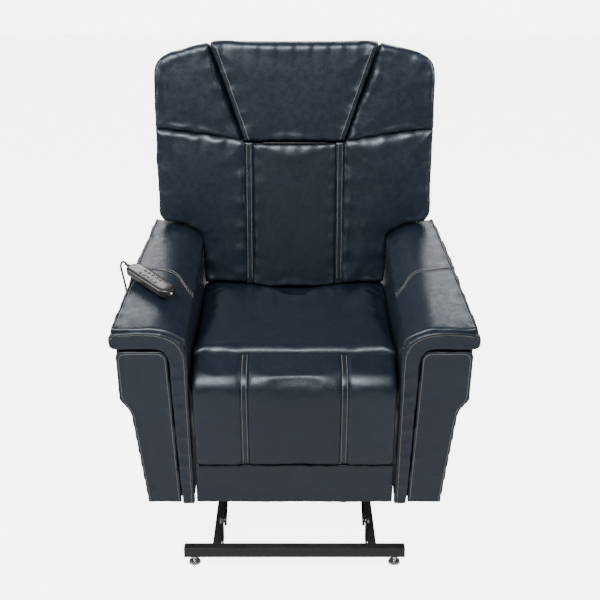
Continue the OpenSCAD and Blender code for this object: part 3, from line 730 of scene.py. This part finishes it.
LEG_HALF, LEG_LOW_H, LEG_TOP_H = 262, 194, 436
# Side view of the chaise leather: up the leg rest, over the knee and back to the seat's crease
CHAISE = smooth_line([(0, -3, 196), (0, -11, 222), (0, -13, 300), (0, -13, 395), (0, -9, 424),
                      (0, 2, 447), (0, 22, 463), (0, 52, 472), (0, 88, 476), (0, 116, 474)], 12)[:, 1:]
CHAISE_AT = np.concatenate([[0], np.cumsum(np.linalg.norm(np.diff(CHAISE, axis=0), axis=1))])
CHAISE_L = CHAISE_AT[-1]


def on_chaise(u, v, w):
    """v runs along the chaise from its foot, and w goes down into the padding."""
    ahead = np.gradient(CHAISE, axis=0)
    ahead /= np.linalg.norm(ahead, axis=1)[:, None]
    y, z = (np.interp(v, CHAISE_AT, CHAISE[:, k]) for k in (0, 1))
    dy, dz = (np.interp(v, CHAISE_AT, ahead[:, k]) for k in (0, 1))
    below = np.minimum(v, 0)
    return np.stack([u, y + dz * w, z - dy * w + below], axis=1)


def leg_panel(half_in, half_out):
    return [(half_in, -3), (half_out, -3), (half_out, CHAISE_L), (half_in, CHAISE_L)]


soft_pad("legrest_core", [(panel(254, LEG_LOW_H + 4, LEG_TOP_H), 12, 74)], on_front, rounds=3,
         hold=1.0)
leg_centre = soft_pad("chaise_centre", [(leg_panel(-122, 122), 3, 34)], on_chaise, crown=8,
                      reach=80, folds=((0.5, 58, 18),), cap=4, voxel=6,
                      pressure=2.0, loose=0.01)
leg_sides, leg_strips = {}, {}
for side, flip in (("right", False), ("left", True)):
    pick = mirrored if flip else list
    leg_sides[side] = soft_pad("chaise_side_" + side, [(pick(leg_panel(136, LEG_HALF)), 3, 34)],
                               on_chaise, crown=8, reach=62, folds=((0.6, 64, 22),), cap=4, voxel=6,
                               pressure=2.0, loose=0.01)
    leg_strips[side] = soft_pad("chaise_strip_" + side, [(pick(leg_panel(117, 141)), 3, 28)],
                                on_chaise, voxel=5, rounds=2, hold=0.8, pressure=1.5, cap=3)

soft_pad("kick_pad", [(panel(266, 62, 193), 1, 13)], on_front, voxel=5, rounds=3, crown=1.5,
         reach=30, folds=((0.9, 38, 16), (0.5, 17, 9)), cap=4, hold=0.6, pressure=3)


# ---- Arms ---------------------------------------------------------------------------

ARM_H, PAD_L = 623, 645
INNER, PAD_FRONT, PAD_REAR = 268, 463, 419
ARM_FLOOR = 60
ARM_LEN = 720
ROLL_W, ROLL_DROP = 88, 36


def on_arm_top(u, v, w):
    """u across, v depth, w down from the top of the pad; the inner edge is rolled over."""
    inward = np.clip((INNER + ROLL_W - np.abs(u)) / ROLL_W, 0, 1)
    high = np.clip((62 - w) / 54, 0, 1)
    return np.stack([u, v, ARM_H - w - ROLL_DROP * inward ** 2.2 * high], axis=1)


def taper(y):
    return PAD_FRONT - (PAD_FRONT - PAD_REAR) * y / PAD_L


ARM_PAD = [(INNER + 1, 3), (taper(5) - 2, 3), (taper(250) - 2, 250), (taper(642) - 2, 642),
           (INNER + 1, 642)]
ARM_SIDE = [(INNER + 1, ARM_FLOOR + 1), (398, ARM_FLOOR + 1), (424, 352), (428, 366), (445, 390),
            (451, 404), (451, 552), (INNER + 1, 552)]
ARM_PANEL = [(305, 62), (397, 62), (423, 352), (427, 366), (444, 390), (450, 404), (450, 532),
             (444, 543), (432, 547), (338, 547), (325, 541), (318, 528)]
ARM_BAND = [(INNER + 1, 62), (INNER + 35, 62), (316, 520), (321, 540), (332, 551), (350, 556),
            (452, 556), (461, 563), (463, 580), (460, 594), (448, 601), (400, 606), (358, 606),
            (330, 602), (305, 592), (286, 577), (274, 556), (INNER + 1, 530)]


def arm_side_shape(u, v, w):
    limit = 451 - 30 * w / ARM_LEN
    x = np.sign(u) * np.minimum(np.abs(u), limit)
    return np.stack([x, w, v], axis=1)


arm_pads, arm_sides, arm_panels, arm_bands = {}, {}, {}, {}
for side, flip in (("right", False), ("left", True)):
    pick = mirrored if flip else list
    arm_pads[side] = soft_pad("arm_pad_top_" + side, [(pick(ARM_PAD), 14, 67)], on_arm_top, voxel=7,
                              rounds=5, crown=12, reach=85, folds=((1.2, 62, 22),), cap=8, hold=0.6)
    arm_sides[side] = soft_pad("arm_side_" + side, [(pick(ARM_SIDE), 14, 718)], arm_side_shape,
                               voxel=10, rounds=2, hold=1.0)
    arm_panels[side] = soft_pad("arm_panel_" + side, [(pick(ARM_PANEL), 4, 13)], on_front, voxel=4,
                                rounds=2, crown=0.8, reach=30, folds=((0.35, 61, 20),), cap=2.5,
                                pressure=2, hold=0.6)
    arm_bands[side] = soft_pad("arm_band_" + side, [(pick(ARM_BAND), -2, 13)], on_front, voxel=4,
                               rounds=4, crown=2, reach=16, folds=((0.5, 47, 9),), cap=4,
                               pressure=3, hold=0.6)


# ---- Rear panels and pocket ---------------------------------------------------------

BACK_DEPTH = 194


def on_back_rear(u, v, w):
    """w is depth in from the rear face of the back."""
    return on_back_rolled(u, v, BACK_DEPTH - w)


def on_rear(u, v, w):
    """w is depth in from the foot of the chair's rear."""
    return np.stack([u, 718 - w, v], axis=1)


soft_pad("back_rear_skin", [(back_outline(9), 2, 12)], on_back_rear, voxel=6, rounds=2, crown=1.5,
         reach=60, folds=((0.4, 70, 25),), cap=3, pressure=2, hold=0.6)
soft_pad("rear_foot_panel", [(panel(265, 62, 298), 2, 15)], on_rear, voxel=6, rounds=2, crown=1.5,
         reach=40, folds=((0.5, 60, 20),), cap=3, pressure=2, hold=0.6)


def pocket_x(z):
    return 399.5 + 26 * (z - ARM_FLOOR) / (352 - ARM_FLOOR)


def pocket_mesh():
    """Open pouch: its outer wall stands off the arm most at its mouth."""
    cols, rows = 28, 30
    verts, faces = [], []
    for layer in (0, 1):
        for j in range(rows + 1):
            v = j / rows
            z = 91 + (314 - 91) * v
            for i in range(cols + 1):
                u = i / cols
                y = 71 + 198 * u
                belly = (math.sin(math.pi * u) ** 0.45) * (0.25 + 0.75 * v) * min(1, v * 6)
                hem = 1.0 * math.sin(2 * math.pi * u * 11) * max(0, v - 0.88) / 0.12
                x = pocket_x(z) + (1.2 if layer else 3.5 + 14.5 * belly + hem)
                verts.append((-x, y, z))
    def at(layer, i, j):
        return layer * (cols + 1) * (rows + 1) + j * (cols + 1) + i
    for j in range(rows):
        for i in range(cols):
            quad = [(i, j), (i + 1, j), (i + 1, j + 1), (i, j + 1)]
            faces.append([at(0, *q) for q in quad])
            faces.append([at(1, *q) for q in reversed(quad)])
    for i in range(cols):
        faces.append([at(1, i, 0), at(1, i + 1, 0), at(0, i + 1, 0), at(0, i, 0)])
    for j in range(rows):
        faces.append([at(0, 0, j), at(0, 0, j + 1), at(1, 0, j + 1), at(1, 0, j)])
        faces.append([at(1, cols, j), at(1, cols, j + 1), at(0, cols, j + 1), at(0, cols, j)])
    return place(verts), faces


pocket = make_object("pocket_pouch", *pocket_mesh())
skin = pocket.modifiers.new("thickness", "SOLIDIFY")
skin.thickness = 0.0022
skin.offset = -1
subdivide(pocket)
pocket.data.materials.append(hide)
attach(pocket, "chair")
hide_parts("side_pocket")


# ---- Fill the pads ------------------------------------------------------------------

inflate_pads()

BODY_OF = {}
for name in pads:
    if name.startswith("back_"):
        BODY_OF[name] = "back"
    elif name.startswith("headrest"):
        BODY_OF[name] = "headrest"
    elif name.startswith("legrest"):
        BODY_OF[name] = "legrest"
    else:
        BODY_OF[name] = "chair"
PERFORATED = ("back_lumbar", "chaise_centre")


# ---- Seams --------------------------------------------------------------------------

def line3(points, shape):
    """(u, v) points, at the face, in the chair frame."""
    points = np.asarray(points, float)
    return shape(points[:, 0], points[:, 1], np.zeros(len(points)))


INTO_BACK = (0, 1, 0)
DOWN = (0, 0, -1)

for name, pad in pads.items():
    pad["obj"].data.materials.append(hide_perforated if name in PERFORATED else hide)

thread_back, thread_head, thread_leg, thread_chair = Gather(), Gather(), Gather(), Gather()
pipe_chair = Gather()

for flip in (1, -1):
    # Top-stitched border inside the headrest's sloping sides
    edge = line3([(flip * 133, 862), (flip * 222, 1112)], on_back)
    tree = tree_of([headrest])
    on, _ = dropped(sampled(edge, 6)[0], INTO_BACK, tree)
    groove(headrest, on, 2.2, 6)

# Transverse seam over each arm
ARM_SEAM = [(INNER + 2, 236), (INNER + 24, 254), (INNER + 55, 300), (400, 327), (438, 334)]
for side, flip in (("right", 1), ("left", -1)):
    seam = smooth_line([(flip * x, y, ARM_H) for x, y in ARM_SEAM])
    pad = arm_pads[side]
    on, _ = dropped(seam, DOWN, tree_of([pad]))
    groove(pad, on, 3.2, 5.5)
    outer = [(flip * (taper(y) - 13), y, ARM_H) for y in np.linspace(14, 636, 60)]
    on, _ = dropped(outer, DOWN, tree_of([pad]))
    groove(pad, on, 2.5, 5)

# Seam between each arm's top and its front band, from the foot up and out to the tip
BAND_SEAM = [(INNER + 5, 66), (INNER + 5, 200), (INNER + 5, 400), (INNER + 5, 520), (279, 556),
             (290, 575), (308, 589), (332, 598), (360, 602), (400, 602), (440, 598), (452, 592)]
MITRE = [(322, 541), (285, 574)]
for side, flip in (("right", 1), ("left", -1)):
    band = arm_bands[side]
    tree = tree_of([band])
    cut = sampled([(flip * x, 0, z) for x, z in MITRE], 3)[0]
    groove(band, dropped(cut, (0, 1, 0), tree)[0], 1.6, 3)

# Inner border on each front panel
PANEL_BORDER = [(390, 68), (415, 350), (419, 368), (436, 393), (441, 408), (442, 526), (436, 537),
                (424, 540), (342, 540), (330, 534), (325, 524), (313, 68)]
for side, flip in (("right", 1), ("left", -1)):
    border = [(flip * x, 0, z) for x, z in PANEL_BORDER]
    on, _ = dropped(sampled(border, 5)[0], (0, 1, 0), tree_of([arm_panels[side]]))
    groove(arm_panels[side], on, 1.2, 3)

for pad in pads.values():
    subdivide(pad["obj"])

back_tree = tree_of([lumbar, *strips.values(), *bolsters.values(), *wings.values()])
for flip in (1, -1):
    for x in (STRIP_IN + 4, STRIP_OUT - 4):
        line = line3([(flip * x, h) for h in np.linspace(458, 842, 60)], on_back)
        stitches(thread_back, line, INTO_BACK, back_tree)
head_tree = tree_of([headrest])
for flip in (1, -1):
    line = line3([(flip * 130, 862), (flip * 218, 1110)], on_back)
    stitches(thread_head, line, INTO_BACK, head_tree)

leg_tree = tree_of([leg_centre, *leg_strips.values(), *leg_sides.values()])
for flip in (1, -1):
    for x in (123, 135):
        v = np.linspace(8, CHAISE_L - 6, 90)
        line = on_chaise(np.full(90, flip * x), v, np.full(90, -12.0))
        for low, high, way in ((0, 60, (0, 1, 0)), (59, 72, (0, 0.7, -0.7)), (71, 90, (0, 0.15, -1))):
            stitches(thread_leg, line[low:high], way, leg_tree)

for side, flip in (("right", 1), ("left", -1)):
    tree = tree_of([arm_pads[side]])
    for shift in (-5, 5):
        seam = smooth_line([(flip * x, y + shift, ARM_H) for x, y in ARM_SEAM])
        stitches(thread_chair, seam, DOWN, tree)
    for inset in (9, 17):
        outer = [(flip * (taper(y) - inset), y, ARM_H) for y in np.linspace(14, 636, 80)]
        stitches(thread_chair, outer, DOWN, tree)
    welt = [(flip * (taper(y) - 13), y, ARM_H) for y in np.linspace(12, 638, 90)]
    on, _ = dropped(welt, DOWN, tree, sink=-0.4)
    pipe_chair.add(*tube(on, 1.7 * MM, sides=10))
    panel_tree = tree_of([arm_panels[side]])
    border = [(flip * x, 0, z) for x, z in PANEL_BORDER]
    stitches(thread_chair, border, (0, 1, 0), panel_tree)
    band_tree = tree_of([arm_bands[side]])
    edge_line = smooth_line([(flip * x, 0, z) for x, z in BAND_SEAM])
    on, _ = dropped(edge_line, (0, 1, 0), band_tree, sink=-0.3)
    pipe_chair.add(*tube(on, 1.9 * MM, sides=10))
    inside = smooth_line([(flip * (x + 5), 0, z - 4) for x, z in BAND_SEAM])
    stitches(thread_chair, inside, (0, 1, 0), band_tree)


def over_knee(obj):
    """Leather that runs over the knee, between the seat and the leg rest: its transform is baked into its
    mesh.
    """
    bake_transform(obj)


thread_back.build("stitching_back", stitch_thread, "back", "leather")
thread_head.build("stitching_headrest", stitch_thread, "headrest", "leather")
chaise_thread = make_object("stitching_chaise", thread_leg.verts, thread_leg.faces)
chaise_thread.data.materials.append(stitch_thread)
over_knee(chaise_thread)
thread_chair.build("stitching_chair", stitch_thread, "chair", "leather")
pipe_chair.build("piping_chair", hide_piping, "chair", "leather")

STANDS_FOR = {
    "back_gusset": ["back_cushion"],
    "headrest_pillow": ["headrest_cushion"],
    "back_rear_skin": ["back_outer_panel"],
    "seat_pad": ["seat_cushion"],
    "legrest_core": ["legrest_pad"],
    "kick_pad": ["front_kick_panel"],
    "rear_foot_panel": ["rear_lower_panel"],
    "arm_side_right": ["arm_cover_right"],
    "arm_side_left": ["arm_cover_left"],
    "arm_pad_top_right": ["arm_pad_right"],
    "arm_pad_top_left": ["arm_pad_left"],
    "arm_band_right": ["arm_front_bands"],
    "arm_panel_right": ["arm_front_panels"],
}
for name, pad in pads.items():
    obj = pad["obj"]
    if name.startswith("chaise"):
        over_knee(obj)
    else:
        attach(obj, BODY_OF[name])
    if name in STANDS_FOR:
        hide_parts(*STANDS_FOR[name])


# ---- Handset ------------------------------------------------------------------------

HANDSET_AT = (-378, 216)
HANDSET_TURN = math.radians(-49.5)
HANDSET_L, HANDSET_W, HANDSET_T = 190, 50, 24
BUTTON_PITCH = (17, 16)


def on_handset(points):
    points = np.asarray(points, float).reshape(-1, 3)
    c, s = math.cos(HANDSET_TURN), math.sin(HANDSET_TURN)
    x = HANDSET_AT[0] + points[:, 0] * c - points[:, 1] * s
    y = HANDSET_AT[1] + points[:, 0] * s + points[:, 1] * c
    return place(np.stack([x, y, ARM_H + 0.5 + points[:, 2]], axis=1))


def handset_shell():
    """Rounded bar with a parting line round its middle."""
    tip, nose = HANDSET_L / 2 - 0.1, 24
    curve = nose * (1 - np.cos(np.linspace(0, math.pi / 2, 12)))
    stations = np.concatenate([-tip + curve, np.linspace(-66, 66, 23), tip - curve[::-1]])
    sides = 40
    verts = []
    for x in stations:
        past = max(0, abs(x) - 70.5) / 24.5
        half = (HANDSET_W / 2 - 0.2) * math.sqrt(max(1 - past ** 2, 0.0004))
        tall = (HANDSET_T / 2 - 0.2) * (1 - 0.35 * past ** 3)
        for k in range(sides):
            a = 2 * math.pi * (k + 0.5) / sides
            c, s = math.cos(a), math.sin(a)
            y = half * math.copysign(abs(c) ** 0.5, c)
            z = tall * math.copysign(abs(s) ** 0.5, s)
            if abs(s) < 0.09:
                y *= 0.985
            verts.append((x, y, HANDSET_T / 2 + z))
    return on_handset(verts), [face[::-1] for face in ring_faces(len(stations), sides)]


shell = make_object("handset_body", *handset_shell())
subdivide(shell)
shell.data.materials.append(handset_plastic)
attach(shell, "chair")
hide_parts("handset_lower_shell", "handset_upper_shell")


def button_mesh(cx, cy):
    """Domed key with a soft square outline, from inside the shell up to its proud top."""
    levels = [(18.4, 0.96), (22.6, 1.0), (24.4, 1.0), (25.0, 0.94), (25.2, 0.80)]
    sides = 28
    verts = []
    for z, share in levels:
        for k in range(sides):
            a = 2 * math.pi * k / sides
            c, s = math.cos(a), math.sin(a)
            verts.append((cx + 4.5 * share * math.copysign(abs(c) ** 0.45, c),
                          cy + 4.0 * share * math.copysign(abs(s) ** 0.45, s), z))
    return verts, ring_faces(len(levels), sides)


for index in range(10):
    cx = -34 + BUTTON_PITCH[0] * (index // 2)
    cy = (index % 2 - 0.5) * BUTTON_PITCH[1]
    number = f"{index + 1:02d}"
    verts, faces = button_mesh(cx, cy)
    key = make_object("key_cap_" + number, on_handset(verts), faces)
    key.data.materials.append(button_rubber)
    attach(key, "key_" + number)
    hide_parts("button_" + number)
    # Plain printed mark: a ring and a small arrow, pointing up or down the handset
    mark = Gather()
    ring = [(cx + 3.4 * math.cos(a), cy + 3.1 * math.sin(a), 25.22)
            for a in np.linspace(0, 2 * math.pi, 24, endpoint=False)]
    mark.add(*tube(on_handset(ring), 0.22 * MM, sides=6, closed=True))
    point = 1 if index % 2 else -1
    arrow = [(cx - 1.3, cy - 1.0 * point, 25.3), (cx + 1.3, cy - 1.0 * point, 25.3),
             (cx, cy + 1.3 * point, 25.3)]
    mark.add(*tube(on_handset(arrow), 0.25 * MM, sides=6, closed=True))
    mark.build("key_mark_" + number, icon_print, "key_" + number, "handset_plastic")


def lathe(profile, centre, axis, sides=32):
    """Round piece from (distance along the axis, radius) pairs."""
    centre, axis = Vector(centre), Vector(axis).normalized()
    across = axis.orthogonal().normalized()
    other = axis.cross(across)
    verts = []
    for along, r in profile:
        for k in range(sides):
            a = 2 * math.pi * k / sides
            p = centre + axis * along * MM + (across * math.cos(a) + other * math.sin(a)) * r * MM
            verts.append(np.array(p))
    return verts, ring_faces(len(profile), sides)


handset_axis = on_handset([(1, 0, 0)])[0] - on_handset([(0, 0, 0)])[0]
ribs = [(0, 5.4)]
for i in range(7):
    r = 5.3 - 0.2 * i
    ribs += [(1.2 + 3.3 * i, r), (2.6 + 3.3 * i, r), (2.9 + 3.3 * i, r - 0.9), (4.0 + 3.3 * i, r - 0.9)]
ribs += [(24.9, 3.8)]
relief = make_object("lead_relief", *lathe(ribs, on_handset([(-HANDSET_L / 2, 0, 12)])[0], -handset_axis))
relief.data.materials.append(cord_rubber)
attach(relief, "chair")
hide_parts("cord_strain_relief")

lens_profile = [(-1.0, 3.0), (0.6, 3.0), (1.2, 2.8), (1.9, 2.1), (2.3, 1.1), (2.45, 0.2)]
lens = make_object("lamp_dome", *lathe(lens_profile, on_handset([(HANDSET_L / 2, 0, 12)])[0],
                                       handset_axis))
lens.data.materials.append(lamp_lens)
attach(lens, "chair")
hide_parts("handset_lamp")


# ---- Carried-over CAD nodes ---------------------------------------------------------

FINISH = {
    "levelling_feet": foot_steel,
    "base_pivot_bolts": bright_zinc,
    "headrest_hinge": black_steel,
    "seat_springs": bright_zinc,
    "base_tube_caps": motor_plastic,
    "arm_frames": board,
    "back_frame": board,
    "legrest_board": board,
    "lift_motor": motor_plastic,
    "recline_motor": motor_plastic,
    "legrest_motor": motor_plastic,
    "lift_rod": bright_zinc,
    "recline_rod": bright_zinc,
    "legrest_rod": bright_zinc,
    "control_box": motor_plastic,
    "power_supply": motor_plastic,
    "cord_grommet": cord_rubber,
}
for name, node in frame["nodes"].items():
    if node.hide_render or node.type != "MESH":
        continue
    node.data.materials.clear()
    node.data.materials.append(FINISH.get(name, black_steel))
    weld = node.modifiers.new("weld", "WELD")
    weld.merge_threshold = 0.00002
    edge = node.modifiers.new("edge", "BEVEL")
    edge.width = 0.0007
    edge.segments = 2
    edge.limit_method = "ANGLE"
    edge.angle_limit = math.radians(35)
    edge.harden_normals = True


# ---- Floor and light ----------------------------------------------------------------

FLOOR_GREY = 0.50
FLOOR_SEEN, SKY_SEEN, SKY_FILL = 5.6, 6.6, 0.12

floor_mesh = bpy.data.meshes.new("floor")
grid = bmesh.new()
bmesh.ops.create_grid(grid, x_segments=4, y_segments=4, size=14)
grid.to_mesh(floor_mesh)
grid.free()
floor = bpy.data.objects.new("floor", floor_mesh)
scene.collection.objects.link(floor)
floor_look = Nodes("floor_paper")
floor_look.shader.inputs["Base Color"].default_value = (FLOOR_GREY, FLOOR_GREY, FLOOR_GREY, 1)
floor_look.shader.inputs["Roughness"].default_value = 0.9
seen = floor_look.node("ShaderNodeLightPath").outputs["Is Camera Ray"]
floor_look.shader.inputs["Emission Color"].default_value = (1, 1, 1, 1)
floor_look.link(floor_look.math("MULTIPLY", seen, FLOOR_SEEN),
                floor_look.shader.inputs["Emission Strength"])
floor.data.materials.append(floor_look.material)

world = bpy.data.worlds.new("studio")
scene.world = world
world.use_nodes = True
sky = world.node_tree.nodes["Background"]
sky.inputs["Color"].default_value = (1, 1, 1, 1)
white = world.node_tree.nodes.new("ShaderNodeLightPath").outputs["Is Camera Ray"]
spread = world.node_tree.nodes.new("ShaderNodeMapRange")
spread.inputs["To Min"].default_value = SKY_FILL
spread.inputs["To Max"].default_value = SKY_SEEN
world.node_tree.links.new(white, spread.inputs["Value"])
world.node_tree.links.new(spread.outputs["Result"], sky.inputs["Strength"])


def area_light(name, location, target, size, power):
    data = bpy.data.lights.new(name, "AREA")
    data.shape = "RECTANGLE"
    data.size, data.size_y = size
    data.energy = power
    light = bpy.data.objects.new(name, data)
    light.location = location
    light.rotation_euler = (Vector(target) - Vector(location)).to_track_quat("-Z", "Y").to_euler()
    scene.collection.objects.link(light)


area_light("key_box", (-0.8, -2.4, 3.5), (0, 0.3, 1.1), (2.2, 1.3), 245)
area_light("rear_box", (0.0, 2.6, 2.8), (0, 0, 0.8), (3.2, 1.3), 85)
area_light("left_box", (-2.8, -0.2, 2.2), (0, 0.1, 0.8), (1.2, 2.0), 60)
area_light("right_box", (2.8, -0.2, 2.2), (0, 0.1, 0.8), (1.2, 2.0), 65)
